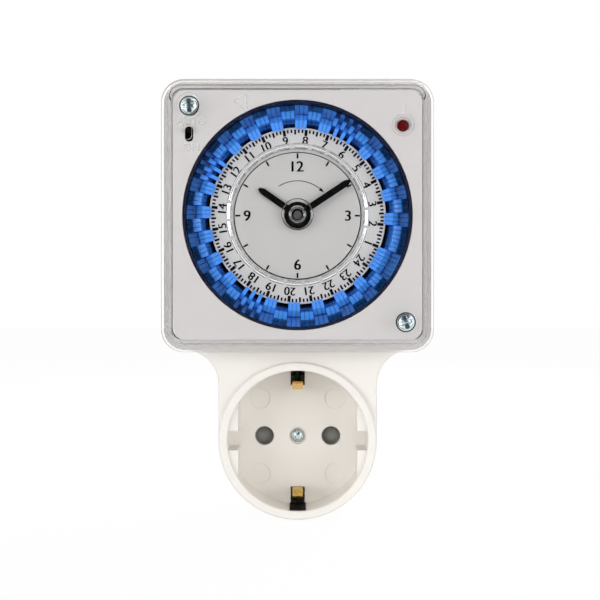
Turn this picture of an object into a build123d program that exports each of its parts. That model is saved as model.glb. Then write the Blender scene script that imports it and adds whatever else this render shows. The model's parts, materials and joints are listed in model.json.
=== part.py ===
from build123d import *
import os
from math import acos, atan2, cos, degrees, pi, radians, sin, sqrt, tan

# A 24-hour time switch on an adaptor base with one earthed socket below it.
# Millimetres. X is right, the front faces -Y and Z is up. The origin is on the dial axis at the wall.
# A depth is a distance in front of the wall, so depth d lies at y = -d.

# Base
base_above = 3.3
base_below = 0.5
base_corner = 4.0
base_depth = 41.0
neck_half_width = 21.9
neck_fillet = 9.6
shell_wall = 2.0
split_depth = 14.0
front_edge = 0.8
opening_out = 2.1

# Plug on the back
plug_radius = 18.4
plug_length = 17.5
plug_wall = 2.2
plug_face = 3.0
plug_flat_in = 2.2
plug_lip = 1.0
plug_rib_half = 2.5
pin_spacing = 19.0
pin_radius = 2.4
pin_length = 19.0
pin_root = 2.9
pin_room = 0.05
pin_tip_round = 1.2
pin_block = 7.0
pin_block_depth = 6.0
strip_width = 4.0
strip_thick = 0.8
strip_room = 0.15
strip_end_gap = 2.0

# Socket
socket_below = 25.0
collar_rise = 1.5
collar_inset = 0.25
collar_wall = 2.35
mouth_round = 0.5
socket_depth = 17.5
guide_in = 2.9
guide_set_back = 1.2
guide_notch = 5.3
groove_width = 4.0
groove_in = 4.7
groove_wall = 0.75
groove_lip = 1.5
plate_lap = 0.5
plate_thick = 3.0
socket_hole_room = 0.3
mark_radius = 2.9
mark_place = 10.7
mark_depth = 0.3
hub_boss = 2.5
shutter_thick = 1.6
shutter_room = 0.8
shutter_arm = 7.2
shutter_hub = 4.2
shutter_pad = 2.3
shutter_pad_rise = 0.6
run_room = 0.05
contact_wall = 0.65
contact_slit = 1.0
contact_gap = 0.6
carrier_in = 2.8
carrier_thick = 6.0
carrier_post = 3.2
earth_width = 2.9
earth_thick = 0.6
clip_root_out = 0.75
clip_bend = 2.5
clip_waist = 8.5
clip_waist_in = 0.6
clip_tip = 13.0
clip_tip_out = 1.3
clip_round = 0.9

# Timer case, panel and cover
case_margin = 5.3
case_corner = 5.5
case_wall = 2.0
post_inset = 7.5
post_radius = 2.9
panel_inset = 2.8
panel_corner = 3.2
panel_thick = 1.6
panel_skirt_wall = 0.8
panel_skirt_room = 0.2
panel_rise = 6.0
dial_room = 4.8
surround_wall = 0.75
surround_depth = 5.4
surround_skirt_out = 0.4
surround_skirt_wall = 0.7
surround_skirt = 7.0
surround_room = 0.05
cover_overhang = 0.5
cover_flange = 3.0
cover_height = 13.0
cover_wall = 1.2
cover_ledge = 1.6
raised_corner = 4.6
raised_draft = 5.0
raised_round = 1.1
well_radius = 2.9
well_depth = 1.9
well_wall = 0.5
well_post = 2.2
pointer_angle = 26.5
pointer_inner = 29.3
pointer_length = 4.3
pointer_half = 1.78
pointer_raise = 0.25
lamp_inset = 7.9
lamp_down = 12.1
lamp_radius = 1.5
lamp_room = 0.1
lamp_ring = 2.7
lamp_ring_wall = 0.5
lamp_ring_rise = 0.4
lamp_board_width = 5.6
lamp_board_height = 6.3
lamp_board_side = 1.0
lamp_board_thick = 1.2
slot_inset = 7.1
slot_down = 14.3
slot_width = 2.1
slot_height = 3.9
slot_room = 0.1
slider_knob = 1.7
slider_stand = 1.2
slider_flange_width = 3.6
slider_flange_half = 2.85
slider_flange_thick = 1.0
slider_gap = 0.2
slider_stem = 1.5

# Dial and its flipping segments
scale_set = 2.05
scale_width = 6.45
scale_thick = 0.4
scale_behind_panel = 4.5
dial_web = 1.5
dial_hub = 6.0
dial_wall = 1.4
dial_flange_out = 3.9
dial_flange_thick = 0.8
rail_radius = 25.4
rail_set = 3.1
rail_height = 4.4
rail_web = 0.5
bead_radius = 0.7
clip_room = 0.05
clip_mouth = 38.0
segment_hours = 24
segments_per_hour = 6
segment_tilt = 14.0
segment_gap = 0.05
head_in = 1.18
head_rise = 5.6
head_under = 4.35
crown_out = 0.95
crown_rise = 5.27
head_out = 2.16
head_low = 3.72
head_slope = 1.75
neck = 0.75
neck_rise = 1.6
neck_top = 4.1
waist = 1.15
waist_rise = 1.2
heel_reach = 4.68
heel_rise = 1.0
heel_thick = 0.7
foot_inner = 2.3
foot_outer = 3.2
foot_top = 0.1
foot_drop = 2.6
jaw_drop = 0.65

# Clock face, hands and setting knob
clock_time = 10.157
face_room = 0.3
face_thick = 0.6
face_gap = 0.8
hand_gap = 0.6
hand_thick = 0.6
hand_width = 1.7
hand_taper = 1.2
hand_tip = 0.7
hour_hand_length = 12.4
minute_hand_room = 0.1
hand_boss = 3.5
arbor_radius = 1.05
pipe_wall = 0.9
bush_wall = 1.35
knob_rim_wall = 1.4
knob_rim_room = 0.35
knob_rim_back = 0.8
knob_rim_front = 6.4
knob_rim_round = 0.55
knob_web = 0.8
knob_boss = 4.2
knob_boss_front = 7.4
knob_boss_round = 0.4
knob_dimple = 2.1
knob_dimple_depth = 2.2
knob_bore_rise = 1.4
knob_notches = 24
knob_notch_width = 1.0
knob_notch_depth = 1.1
knob_notch_turn = 10.3

# Movement
gear_room = 5.95
motor_axle_angle = 210.0
side_axle_angle = -30.0
pressure_angle = 20.0
motor_teeth, centre_teeth = 12, 48
cannon_teeth, minute_teeth = 10, 30
hour_pinion_teeth, hour_teeth = 8, 32
dial_pinion_teeth, dial_teeth = 8, 64
pinion_tip_share, pinion_root_share = 1.0, 0.75
wheel_tip_share, wheel_root_share = 0.5, 1.25
tooth_slack = 0.08
wheel_thick = 1.5
wheel_gap = 0.8
floor_gap = 0.4
plate_metal = 1.6
movement_plate_in = 2.5
dial_gap = 1.0
side_axle_radius = 0.9
ear_out = 1.0
ear_width = 6.0
ear_angles = (20, 160, 270)
pillar_in = 2.5
pillar_radius = 2.0
pillar_angles = (40, 150, 262)
motor_radius = 12.0
motor_length = 14.0
motor_shaft_in = 3.0
shaft_clear = 0.6

# Switch
lever_in = 3.3
lever_above = 0.8
lever_pin = 0.9
lever_hub = 1.9
lever_thick = 1.4
lever_bar = 1.5
lever_nose = 1.0
lever_trip_gap = 0.35
lever_elbow_angle = 8.5
lever_elbow_out = 2.0
tail_gap = 0.35
plunger_radius = 0.8
plunger_gap = 0.25
plunger_in = 2.6
plunger_out = 1.3
pad_width = 2.4
pad_height = 1.2
pad_out = 4.32
switch_length = 13.0
switch_height = 5.2
switch_depth = 7.0
switch_side = 3.5
switch_wall_room = 0.38
tab_width = 3.0
tab_thick = 0.6
tab_length = 8.0
tab_place = 3.0
tab_room = 0.8

# Circuit board
board_room = 4.0
board_above = 6.0
board_width = 26.0
board_height = 40.0
board_thick = 1.6
board_standoff = 5.0
board_pillar_radius = 1.8
board_pillar_left = 6.5
board_pillar_up = 14.0
board_pillar_right = 4.0
board_pillar_low = 3.0
capacitor_right = 0.5
capacitor_up = 8.0
capacitor_width = 15.0
capacitor_height = 8.0
capacitor_depth = 9.5
cell_right = 1.5
cell_down = 11.0
cell_radius = 6.0
cell_depth = 5.4

# Fasteners and wires
screw_shank = 1.4
screw_room = 0.05
screw_head = 2.6
screw_head_thick = 1.6
cross_width = 0.7
cross_length = 3.0
cross_depth = 0.8
cover_screw_length = 14.0
case_screw_length = 8.0
plate_screw_shank = 1.0
plate_screw_head = 1.9
plate_screw_thick = 0.8
plate_screw_length = 3.5
base_screw_length = 22.0
base_screw_sink = 4.0
base_boss = 3.6
base_front_boss = 3.2
base_screw_inset = 6.5
base_screw_down = 4.8
base_screw_low_in = 6.4
base_screw_low_down = 3.5
socket_head = 1.85
socket_head_thick = 1.3
socket_well = 2.4
socket_well_depth = 1.6
socket_screw_length = 12.0
wire_radius = 0.8
wire_bend = 2.0
load_wire_in = 9.9
earth_wire_in = 6.1

# Radii and places that follow, from the bead rail outwards
scale_outer = rail_radius - scale_set
scale_inner = scale_outer - scale_width
dial_flange = rail_radius + dial_flange_out
face_radius = scale_inner - face_room
minute_hand_length = face_radius - minute_hand_room
knob_rim_inner = scale_inner + knob_rim_room
knob_rim_outer = knob_rim_inner + knob_rim_wall
axle_distance = (scale_outer - dial_wall - gear_room) * (dial_teeth + dial_pinion_teeth) / dial_teeth
movement_opening = rail_radius + opening_out
movement_plate = movement_opening - movement_plate_in
ear_radius = movement_opening + ear_out
pillar_place = movement_plate - pillar_in
dial_hole = rail_radius + dial_room
case_half = dial_hole + case_margin
cover_half = case_half + cover_overhang
cover_corner = case_corner + cover_overhang
raised_half = cover_half - cover_ledge
panel_half = case_half - panel_inset
post_place = case_half - post_inset
lamp_x, lamp_z = case_half - lamp_inset, case_half - lamp_down
slot_x, slot_z = slot_inset - case_half, case_half - slot_down
lever_pivot_x, lever_pivot_z = slot_x + lever_in, slot_z + lever_above
base_half_width = case_half
base_top = case_half + base_above
base_bottom = case_half + base_below
base_screw_x, base_screw_z = base_half_width - base_screw_inset, base_top - base_screw_down
base_screw_low_x = neck_half_width - base_screw_low_in
base_screw_low_z = -base_bottom - base_screw_low_down
board_x = base_half_width - shell_wall - board_room - board_width / 2
board_z = board_above
board_pillars_at = (
    (board_x - board_pillar_left, board_z + board_pillar_up),
    (board_x + board_pillar_right, board_z + board_pillar_low),
)
capacitor_x, capacitor_z = board_x + capacitor_right, board_z + capacitor_up
cell_x, cell_z = board_x + cell_right, board_z - cell_down
load_wire_x = shell_wall + load_wire_in - base_half_width
socket_drop = base_bottom + socket_below
collar_outer = neck_half_width - collar_inset
mouth_radius = collar_outer - collar_wall
guide_half = mouth_radius - guide_in
groove_inner = mouth_radius - groove_in
groove_outer = collar_outer - groove_wall
plate_radius = mouth_radius + plate_lap
carrier_radius = mouth_radius - carrier_in
clip_root = groove_inner + clip_root_out
clip_waist_radius = groove_inner - clip_waist_in
clip_tip_radius = groove_inner + clip_tip_out
plug_flat = plug_radius - plug_flat_in
plug_hollow = plug_radius - plug_wall - strip_thick

# Depths that follow from the sizes above, back to front
collar_front = base_depth + collar_rise
socket_floor = collar_front - socket_depth
plate_back = socket_floor - plate_thick
shutter_front = plate_back - shutter_room
shutter_back = shutter_front - shutter_thick
contact_front = shutter_back - contact_gap
carrier_front = shell_wall + carrier_thick
strap_front = contact_front
strap_back = strap_front - earth_thick
case_floor = base_depth + case_wall
minute_mesh = case_floor + floor_gap
hour_mesh = minute_mesh + wheel_thick + wheel_gap
front_plate_back = hour_mesh + wheel_thick + wheel_gap
front_plate_front = front_plate_back + plate_metal
centre_mesh = minute_mesh - wheel_gap - wheel_thick
rear_plate_front = centre_mesh - wheel_gap
rear_plate_back = rear_plate_front - plate_metal
motor_back = rear_plate_back - motor_length
dial_back = front_plate_front + dial_gap
rail_depth = dial_back + rail_height
dial_front = rail_depth + rail_set
scale_front = dial_front + scale_thick
panel_front = scale_front + scale_behind_panel
panel_back = panel_front - panel_thick
seat = panel_front - panel_rise
cover_front = seat + cover_height
flange_front = seat + cover_flange
face_back = dial_front + face_gap
face_front = face_back + face_thick
hour_hand_back = face_front + hand_gap
minute_hand_back = hour_hand_back + hand_thick + hand_gap
knob_back = minute_hand_back + hand_thick + hand_gap
lever_back = rail_depth - foot_drop
board_front = rear_plate_back - board_standoff
board_back = board_front - board_thick

# The switch lies under the upper wall of the case, and the pad of the lever under its plunger
switch_low = case_half - case_wall - switch_wall_room - switch_height
switch_middle = switch_low + switch_height / 2
pad_top = switch_low - plunger_out - plunger_gap
pad_edge = sqrt((rail_radius + pad_out) ** 2 - (pad_top - pad_height) ** 2)
plunger_x = -pad_edge - pad_width / 2

# Fits and lists of places that follow
pipe_inner = arbor_radius + run_room
pipe_outer = pipe_inner + pipe_wall
bush_inner = pipe_outer + run_room
bush_outer = bush_inner + bush_wall
dial_bore = bush_outer + run_room
guide_root = (mouth_radius + collar_outer) / 2
pin_place = pin_spacing / 2
pin_hole = pin_radius + socket_hole_room
contact_inner = pin_radius + run_room
contact_outer = contact_inner + contact_wall
slot_travel = slot_height - slider_knob - 2 * slot_room
motor_x = axle_distance * cos(radians(motor_axle_angle))
motor_z = axle_distance * sin(radians(motor_axle_angle))
side_x = axle_distance * cos(radians(side_axle_angle))
side_z = axle_distance * sin(radians(side_axle_angle))
corner_posts = [(sx * post_place, sz * post_place) for sx in (-1, 1) for sz in (-1, 1)]
cover_screws_at = [(-post_place, post_place), (post_place, -post_place)]
base_screws_at = [
    (side * x, z)
    for side in (-1, 1)
    for x, z in ((base_screw_x, base_screw_z), (base_screw_low_x, base_screw_low_z))
]


def polar(radius, degrees_round):
    """A place at a radius, counter-clockwise from +X as seen from the front."""
    return radius * cos(radians(degrees_round)), radius * sin(radians(degrees_round))


def slab(sketch, back, front):
    """A sketch drawn in X and Z, made solid between two depths."""
    return extrude(Plane.XZ.offset(back) * sketch, amount=front - back)


def tube(outer, inner, back, front):
    """A ring about the dial axis between two depths."""
    return slab(Circle(outer) - Circle(inner), back, front)


def block(x, z, width, height, back, front):
    """A box centred on a place in X and Z, between two depths."""
    return slab(Pos(x, z) * Rectangle(width, height), back, front)


def bar(start, end, width):
    """A round-ended bar between two places."""
    dx, dz = end[0] - start[0], end[1] - start[1]
    middle = Pos((start[0] + end[0]) / 2, (start[1] + end[1]) / 2)
    turn = degrees(atan2(dz, dx))
    return middle * Rot(0, 0, turn) * SlotCenterToCenter(sqrt(dx * dx + dz * dz), width)


def square(half, corner):
    """A square outline with rounded corners."""
    return RectangleRounded(2 * half, 2 * half, corner)


def one(shape):
    """The one solid of a shape."""
    return shape.solids()[0]


def group(shapes):
    """Several separate solids kept together as one piece of the list."""
    return Compound([one(shape) for shape in shapes])


def screw(head, head_thick, shank, length):
    """A cross-headed screw with its seat at depth zero and its head to the front."""
    body = slab(Circle(head), 0, head_thick) + slab(Circle(shank), -length, 0)
    body = fillet(body.edges().sort_by(Axis.Y)[0], head_thick / 3)
    share = head / screw_head
    cross = Rectangle(cross_width * share, cross_length * share)
    cross += Rectangle(cross_length * share, cross_width * share)
    return body - slab(cross, head_thick - cross_depth * share, head_thick)


def involute(angle):
    """The involute function of an angle in radians."""
    return tan(angle) - angle


def gear(teeth, mate, tip, root, first):
    """A toothed outline for the axle distance, with one tooth at the angle first."""
    module = 2 * axle_distance / (teeth + mate)
    pitch = teeth * module / 2
    pressure = radians(pressure_angle)
    base = pitch * cos(pressure)
    half = (pi * module / 2 - tooth_slack) / (2 * pitch) + involute(pressure)
    low, high = pitch - root * module, pitch + tip * module
    start = max(low, base)
    flank_steps = 4
    radii = [start + (high - start) * step / flank_steps for step in range(flank_steps + 1)]
    if low < start:
        radii.insert(0, low)
    flank = [(r, half - (involute(acos(base / r)) if r > base else 0)) for r in radii]
    points = []
    for tooth in range(teeth):
        middle = radians(first) + 2 * pi * tooth / teeth
        sides = [(r, middle - a) for r, a in flank] + [(r, middle + a) for r, a in reversed(flank)]
        points += [(r * cos(a), r * sin(a)) for r, a in sides]
    return make_face(Polyline(*points, close=True))


def pinion(teeth, mate, first):
    return gear(teeth, mate, pinion_tip_share, pinion_root_share, first)


def wheel(teeth, mate, gap_at):
    """A wheel with a tooth gap at an angle."""
    return gear(teeth, mate, wheel_tip_share, wheel_root_share, gap_at + 180 / teeth)


# Base pieces

def base_outline():
    """A wide upper part, a neck with rounded inner corners and a round lower end."""
    middle = (base_top - base_bottom) / 2
    outline = Pos(0, middle) * RectangleRounded(2 * base_half_width, base_top + base_bottom, base_corner)
    neck_height = socket_drop - base_bottom + base_corner
    neck_middle = -socket_drop + neck_height / 2
    outline += Pos(0, neck_middle) * Rectangle(2 * neck_half_width, neck_height)
    outline += Pos(0, -socket_drop) * Circle(neck_half_width)
    for side in (-1, 1):
        corner = Pos(side * (neck_half_width + neck_fillet / 2), -base_bottom - neck_fillet / 2)
        hollow = Pos(side * (neck_half_width + neck_fillet), -base_bottom - neck_fillet)
        outline += corner * Rectangle(neck_fillet, neck_fillet) - hollow * Circle(neck_fillet)
    return outline


def base_cavity():
    return offset(base_outline(), amount=-shell_wall)


def strip_channel():
    """The two channels along the plug that take the earth strips."""
    cut = []
    for side in (-1, 1):
        inner = plug_radius - strip_thick - strip_room
        height = strip_thick + 2 * strip_room
        back = -plug_length + strip_end_gap - strip_room
        width = strip_width + 2 * strip_room
        cut.append(block(0, side * (inner + height / 2), width, height, back, shell_wall))
    return cut


def plug_outline():
    """A disc with flat sides and a rib down the middle of each flat."""
    flats = Rectangle(2 * plug_flat, 2 * plug_radius) + Rectangle(2 * plug_radius, 2 * plug_rib_half)
    return Circle(plug_radius) & flats


def base_rear():
    shell = slab(base_outline(), 0, split_depth) - slab(base_cavity(), shell_wall, split_depth)
    shell -= slab(Circle(plug_hollow + pin_room), 0, shell_wall)
    for x, z in base_screws_at:
        shell += slab(Pos(x, z) * Circle(base_boss), 0, split_depth) & slab(base_outline(), 0, split_depth)
    for x, z in base_screws_at:
        shell -= slab(Pos(x, z) * Circle(screw_head + screw_room), 0, base_screw_sink)
        shell -= slab(Pos(x, z) * Circle(screw_shank + screw_room), 0, split_depth)
    for cut in strip_channel():
        shell -= cut
    return shell


def plug_body():
    """The cup that carries the pins, with a lip that fits in the hole of the rear shell."""
    cup = slab(plug_outline(), -plug_length, 0) + slab(Circle(plug_hollow), 0, shell_wall)
    hollow = Circle(plug_hollow - plug_lip) & Rectangle(2 * (plug_flat - plug_wall), 2 * plug_radius)
    cup -= slab(hollow, plug_face - plug_length, shell_wall)
    for side in (-1, 1):
        cup -= slab(Pos(side * pin_place, 0) * Circle(pin_root + pin_room), -plug_length, shell_wall)
    for cut in strip_channel():
        cup -= cut
    return cup


def at_mouth(edge):
    """Whether a round edge is the front edge of the socket mouth."""
    off_axis = abs(edge.radius - mouth_radius)
    off_front = abs(edge.center().Y + collar_front)
    return off_axis < run_room and off_front < run_room


def base_front():
    shell = slab(base_outline(), split_depth, base_depth)
    rim = shell.faces().sort_by(Axis.Y)[0].outer_wire().edges()
    shell = fillet(rim, front_edge)
    shell -= slab(base_cavity(), split_depth, base_depth - shell_wall)
    shell -= slab(Circle(movement_opening), split_depth, base_depth)
    for x, z in base_screws_at:
        shell += slab(Pos(x, z) * Circle(base_front_boss), split_depth, base_depth - shell_wall)
    for x, z in base_screws_at:
        reach = split_depth + base_screw_length
        shell -= slab(Pos(x, z) * Circle(screw_shank + screw_room), split_depth, reach)
    for x, z in corner_posts:
        shell -= slab(Pos(x, z) * Circle(screw_shank + screw_room), split_depth, base_depth)
    shell -= terminal_slot(base_depth - shell_wall, base_depth)
    axis = Pos(0, -socket_drop)
    collar = slab(axis * Circle(collar_outer), socket_floor, collar_front)
    lip = collar.edges().filter_by(GeomType.CIRCLE).sort_by(Axis.Y)[0]
    collar = fillet(lip, mouth_round)
    recess = slab(axis * Circle(mouth_radius), socket_floor, collar_front)
    side_land = Circle(guide_root) - Rectangle(2 * guide_half, 2 * collar_outer)
    side_land -= Rectangle(2 * collar_outer, guide_notch)
    guides = slab(axis * side_land, socket_floor, collar_front - guide_set_back)
    shell = shell + collar - recess + (guides & collar)
    shell = fillet(shell.edges().filter_by(GeomType.CIRCLE).filter_by(at_mouth), mouth_round)
    height = groove_outer - groove_inner
    for side in (-1, 1):
        place = -socket_drop + side * (groove_inner + height / 2)
        shell -= block(0, place, groove_width, height, socket_floor, collar_front - groove_lip)
    return shell


def base_screws():
    fastener = screw(screw_head, screw_head_thick, screw_shank, base_screw_length)
    turned = Rot(0, 0, 180) * fastener
    return group([Pos(x, -base_screw_sink, z) * turned for x, z in base_screws_at])


def plug_pin(side):
    reach = plug_length + pin_length
    rod = slab(Pos(side * pin_place, 0) * Circle(pin_radius), -reach, carrier_front)
    rod = fillet(rod.edges().sort_by(Axis.Y)[-1], pin_tip_round)
    rod += slab(Pos(side * pin_place, 0) * Circle(pin_root), -plug_length, carrier_front)
    back = carrier_front - pin_block_depth / 2
    return rod + block(side * pin_place, 0, pin_block, pin_block, back, back + pin_block_depth)


def plug_earth():
    """One strip along the top and bottom of the plug, joined inside by a bridge."""
    lane = plug_radius - strip_thick / 2
    tip = -plug_length + strip_end_gap
    bridge = shell_wall + strip_thick
    path = Polyline((-tip, lane), (-bridge, lane), (-bridge, -lane), (-tip, -lane))
    strip = trace(path, line_width=strip_thick)
    return extrude(Plane.YZ.offset(-strip_width / 2) * strip, amount=strip_width)


# Socket pieces

def socket_plate():
    axis = Pos(0, -socket_drop)
    plate = slab(axis * Circle(plate_radius), plate_back, socket_floor)
    plate += slab(axis * Circle(hub_boss), shutter_back, plate_back)
    for side in (-1, 1):
        plate -= slab(Pos(side * pin_place, -socket_drop) * Circle(pin_hole), plate_back, socket_floor)
        height = plate_radius - groove_inner
        place = -socket_drop + side * (groove_inner + height / 2)
        plate -= block(0, place, groove_width, height + strip_room, plate_back, socket_floor)
        for up in (-1, 1):
            mark = Pos(side * mark_place, up * mark_place - socket_drop) * Circle(mark_radius)
            plate -= slab(mark, socket_floor - mark_depth, socket_floor)
    plate -= slab(axis * Circle(socket_well), socket_floor - socket_well_depth, socket_floor)
    return plate - slab(axis * Circle(screw_shank + screw_room), shutter_back, socket_floor)


def socket_screw():
    fastener = screw(socket_head, socket_head_thick, screw_shank, socket_screw_length)
    return Pos(0, -(socket_floor - socket_well_depth), -socket_drop) * fastener


def shutter():
    axis = Pos(0, -socket_drop)
    outline = SlotCenterToCenter(pin_spacing, shutter_arm) + Circle(shutter_hub) - Circle(hub_boss + run_room)
    body = slab(axis * outline, shutter_back, shutter_front)
    ball = (shutter_pad * shutter_pad + shutter_pad_rise * shutter_pad_rise) / (2 * shutter_pad_rise)
    centre = ball - shutter_front - shutter_pad_rise
    for side in (-1, 1):
        pad = slab(Pos(side * pin_place, -socket_drop) * Circle(shutter_pad), shutter_back, plate_back)
        body += Pos(side * pin_place, centre, -socket_drop) * Sphere(ball) & pad
    return body


def pin_contact(side):
    """A split sleeve that grips one pin of the plug put in."""
    place = Pos(side * pin_place, -socket_drop)
    sleeve = slab(place * (Circle(contact_outer) - Circle(contact_inner)), carrier_front, contact_front)
    slit = Pos(side * (pin_place + contact_outer), -socket_drop) * Rectangle(2 * contact_outer, contact_slit)
    return sleeve - slab(slit, carrier_front, contact_front)


def contact_carrier():
    axis = Pos(0, -socket_drop)
    body = slab(axis * Circle(carrier_radius), shell_wall, carrier_front)
    body += slab(axis * Circle(carrier_post), carrier_front, strap_back)
    bore = socket_floor - socket_well_depth - socket_screw_length
    return body - slab(axis * Circle(screw_shank + screw_room), bore, strap_back)


def earth_contact():
    """A strap behind the socket plate, bent forward at both ends into sprung clips."""
    lane = (strap_back + strap_front) / 2
    half = [
        (-lane, clip_root),
        (-(socket_floor + clip_bend), clip_root),
        (-(socket_floor + clip_waist), clip_waist_radius),
        (-(socket_floor + clip_tip), clip_tip_radius),
    ]
    points = [(y, -r) for y, r in reversed(half)] + half
    path = FilletPolyline(*[(y, r - socket_drop) for y, r in points], radius=clip_round)
    strip = trace(path, line_width=earth_thick)
    strap = extrude(Plane.YZ.offset(-earth_width / 2) * strip, amount=earth_width)
    strap += slab(Pos(0, -socket_drop) * Circle(carrier_post), strap_back, strap_front)
    hole = Pos(0, -socket_drop) * Circle(screw_shank + screw_room)
    return strap - slab(hole, strap_back, strap_front)


# Timer case and panel

def terminal_slot(back, front):
    """The slot the switch tabs pass through."""
    middle = plunger_x - switch_side + switch_length / 2
    height = tab_width + 2 * tab_room
    return block(middle, switch_middle, switch_length - 2 * tab_room, height, back, front)


def timer_case():
    shell = slab(square(case_half, case_corner), base_depth, seat)
    shell -= slab(square(case_half - case_wall, case_corner - case_wall), case_floor, seat)
    shell -= slab(Circle(movement_opening), base_depth, case_floor)
    for x, z in corner_posts:
        shell += slab(Pos(x, z) * Circle(post_radius), base_depth, panel_back)
    for angle in ear_angles:
        x, z = polar(ear_radius, angle)
        shell += slab(Pos(x, z) * Circle(ear_width / 2), base_depth, front_plate_back)
        bore = front_plate_back - plate_screw_length
        shell -= slab(Pos(x, z) * Circle(plate_screw_shank + screw_room), bore, front_plate_back)
    pivot = Pos(lever_pivot_x, lever_pivot_z)
    shell += slab(pivot * Circle(lever_hub), base_depth, lever_back - slider_gap)
    shell += slab(pivot * Circle(lever_pin), base_depth, lever_back + lever_thick + slider_gap)
    for x, z in corner_posts:
        reach = base_depth + case_screw_length
        shell -= slab(Pos(x, z) * Circle(screw_shank + screw_room), base_depth, reach)
    for x, z in cover_screws_at:
        bore = cover_front - well_depth - cover_screw_length
        shell -= slab(Pos(x, z) * Circle(screw_shank + screw_room), bore, panel_back)
    return shell - terminal_slot(base_depth, case_floor)


def case_screws():
    fastener = screw(screw_head, screw_head_thick, screw_shank, case_screw_length + shell_wall - screw_room)
    turned = Rot(0, 0, 180) * fastener
    return group([Pos(x, shell_wall - base_depth, z) * turned for x, z in corner_posts])


def slot(room):
    """The oblong slot of the mode slider, with room added all round."""
    width = slot_width + 2 * room
    return Pos(slot_x, slot_z) * SlotOverall(slot_height + 2 * room, width, rotation=90)


def front_panel():
    panel = slab(square(panel_half, panel_corner) - Circle(dial_hole), panel_back, panel_front)
    inside = square(panel_half - panel_skirt_wall, panel_corner - panel_skirt_wall)
    panel += slab(square(panel_half, panel_corner) - inside, seat + panel_skirt_room, panel_back)
    lamp = Pos(lamp_x, lamp_z)
    ring = Circle(lamp_ring) - Circle(lamp_ring - lamp_ring_wall)
    panel += slab(lamp * ring, panel_front, panel_front + lamp_ring_rise)
    panel -= slab(lamp * Circle(lamp_radius + lamp_room), panel_back, panel_front)
    panel -= slab(slot(0), panel_back, panel_front)
    for x, z in cover_screws_at:
        panel -= slab(Pos(x, z) * Circle(screw_shank + screw_room), panel_back, panel_front)
    return panel


def dial_surround():
    """A dark ring set in the hole of the panel, with a wider skirt behind it."""
    outer = dial_hole - surround_room
    ring = tube(outer, outer - surround_wall, panel_front - surround_depth, panel_front)
    skirt_inner = dial_hole + surround_skirt_out
    skirt_outer = skirt_inner + surround_skirt_wall
    skirt_back = panel_back - surround_skirt
    ring_back = panel_front - surround_depth
    ring += tube(skirt_outer, outer - surround_wall, ring_back, panel_back)
    return ring + tube(skirt_outer, skirt_inner, skirt_back, panel_back)


def clear_cover():
    flange = slab(square(cover_half, cover_corner), seat, flange_front)
    height = cover_front - flange_front
    raised = extrude(Plane.XZ.offset(flange_front) * square(raised_half, raised_corner),
                     amount=height, taper=raised_draft)
    raised = fillet(raised.faces().sort_by(Axis.Y)[0].edges(), raised_round)
    inner_half = raised_half - cover_wall
    inner_corner = raised_corner - cover_wall
    hollow = extrude(Plane.XZ.offset(flange_front) * square(inner_half, inner_corner),
                     amount=height - cover_wall, taper=raised_draft)
    cover = flange + raised - hollow - slab(square(inner_half, inner_corner), seat, flange_front)
    for x, z in cover_screws_at:
        cup_back = cover_front - well_depth - well_wall
        cover += slab(Pos(x, z) * Circle(well_radius + well_wall), cup_back, cover_front - cover_wall / 2)
        cover += slab(Pos(x, z) * Circle(well_post), panel_front, cup_back)
    for x, z in cover_screws_at:
        cover -= slab(Pos(x, z) * Circle(well_radius), cover_front - well_depth, cover_front)
        cover -= slab(Pos(x, z) * Circle(screw_shank + screw_room), panel_front, cover_front)
    cover -= slab(slot(slot_room), cover_front - cover_wall, cover_front)
    apex, wide = pointer_inner, pointer_inner + pointer_length
    mark = make_face(Polyline((0, apex), (pointer_half, wide), (-pointer_half, wide), close=True))
    turned = Rot(0, 0, pointer_angle) * mark
    return cover + slab(turned, cover_front - cover_wall / 2, cover_front + pointer_raise)


def cover_screws():
    fastener = screw(screw_head, screw_head_thick, screw_shank, cover_screw_length)
    seat_depth = cover_front - well_depth
    return group([Pos(x, -seat_depth, z) * fastener for x, z in cover_screws_at])


def status_lamp():
    lamp = slab(Circle(lamp_radius), panel_back, panel_front)
    dome = Pos(0, -panel_front, 0) * Sphere(lamp_radius)
    return Pos(lamp_x, 0, lamp_z) * (lamp + dome)


def lamp_board():
    back = panel_back - lamp_board_thick
    z = post_place - post_radius - slider_gap - lamp_board_height / 2
    return block(lamp_x + lamp_board_side, z, lamp_board_width, lamp_board_height, back, panel_back)


def slider_z():
    """The middle of the slider knob, at the upper end of its slot."""
    return slot_z + slot_travel / 2


def mode_slider():
    flange_front_depth = panel_back - slider_gap
    flange_back = flange_front_depth - slider_flange_thick
    z = slider_z()
    body = block(slot_x, z, slider_flange_width, 2 * slider_flange_half, flange_back, flange_front_depth)
    body += slab(Pos(slot_x, z) * Circle(slider_knob / 2), flange_front_depth, panel_front + slider_stand)
    return body + block(slot_x, z, slider_stem, slider_stem, lever_back, flange_back)


# Movement

def plate_ears():
    outline = Circle(movement_plate)
    for angle in ear_angles:
        outline += bar((0, 0), polar(ear_radius, angle), ear_width)
    return outline


def front_plate():
    """The plate the dial turns in front of, with the fixed bush of the dial."""
    plate = slab(plate_ears(), front_plate_back, front_plate_front)
    plate += slab(Circle(bush_outer), front_plate_front, face_front)
    plate -= slab(Circle(bush_inner), front_plate_back, face_front)
    side_hole = Pos(side_x, side_z) * Circle(side_axle_radius + run_room)
    plate -= slab(side_hole, front_plate_back, front_plate_front)
    for angle in ear_angles:
        place = Pos(*polar(ear_radius, angle))
        plate -= slab(place * Circle(plate_screw_shank + screw_room), front_plate_back, front_plate_front)
    for angle in pillar_angles:
        place = Pos(*polar(pillar_place, angle))
        plate -= slab(place * Circle(plate_screw_shank + screw_room), front_plate_back, front_plate_front)
    return plate


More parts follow.
